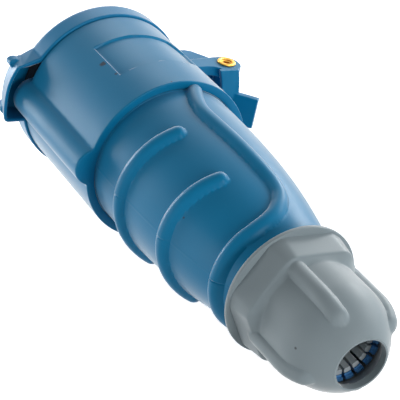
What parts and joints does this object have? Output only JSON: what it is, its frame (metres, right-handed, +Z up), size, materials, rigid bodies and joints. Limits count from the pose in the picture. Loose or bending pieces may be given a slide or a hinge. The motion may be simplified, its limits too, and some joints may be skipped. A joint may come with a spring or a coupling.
{
  "type": "industrial cable connector",
  "caption": "Round portable power connector with a sprung hinged lid, waisted ribbed handle and domed cable gland nut, lying on its side.",
  "frame": {"origin": "on the ground, under the middle of the bounding box of the whole connector as it lies with its lid shut", "axes": "+X along the connector from the lid towards the cable gland, level; +Z up; +Y towards the side where the lid's hinge lies"},
  "size_m": [0.1524, 0.0744, 0.0559],
  "materials": {
    "blue_plastic": "moulded, satin",
    "lid_plastic": "moulded, satin",
    "grey_plastic": "moulded, satin",
    "carrier_plastic": "moulded, matt",
    "grey_rubber": "matt",
    "black_rubber": "matt",
    "brass": "rolled, bright",
    "contact_brass": "turned",
    "spring_steel": "drawn wire",
    "screw_steel": "zinc plated"
  },
  "bodies": {
    "connector": {"front_housing": "blue_plastic", "hinge_rivet": "brass", "lid_spring": "spring_steel", "contact_carrier": "carrier_plastic", "terminal_base": "carrier_plastic", "earth_sleeve": "contact_brass", "phase_sleeve": "contact_brass", "neutral_sleeve": "contact_brass", "earth_sleeve_spring": "spring_steel", "phase_sleeve_spring": "spring_steel", "neutral_sleeve_spring": "spring_steel", "earth_terminal_screw": "screw_steel", "phase_terminal_screw": "screw_steel", "neutral_terminal_screw": "screw_steel", "contact_retainer": "carrier_plastic", "base_screw": "screw_steel", "housing_gasket": "black_rubber", "handle": "blue_plastic", "clamping_cage": "blue_plastic", "cable_seal": "grey_rubber"},
    "hinged_lid": {"lid": "lid_plastic", "lid_seal": "black_rubber"},
    "gland_carriage": {"slip_ring": "grey_plastic"},
    "gland": {"gland_nut": "grey_plastic"}
  },
  "joints": [
    {"name": "lid_hinge", "type": "hinge", "parent": "connector", "child": "hinged_lid", "pos_m": [-0.05843, 0.02698, 0.01373], "axis": [-0.084, -0.4141, -0.9064], "range_deg": [0, 100], "stiffness_Nm_per_rad": 0.03, "springref_deg": -57.3, "deforming": ["lid_spring"]},
    {"name": "gland_travel", "type": "slide", "parent": "connector", "child": "gland_carriage", "axis": [0.9957, 0, -0.0923], "range_m": [0, 0.0051]},
    {"name": "gland_turn", "type": "hinge", "parent": "gland_carriage", "child": "gland", "pos_m": [0.04191, -0.00551, 0.01928], "axis": [0.9957, 0, -0.0923], "range_deg": [0, 720]}
  ],
  "couplings": [
    {"joint": "gland_travel", "follows": "gland_turn", "m_per_rad": 0.00039789}
  ]
}
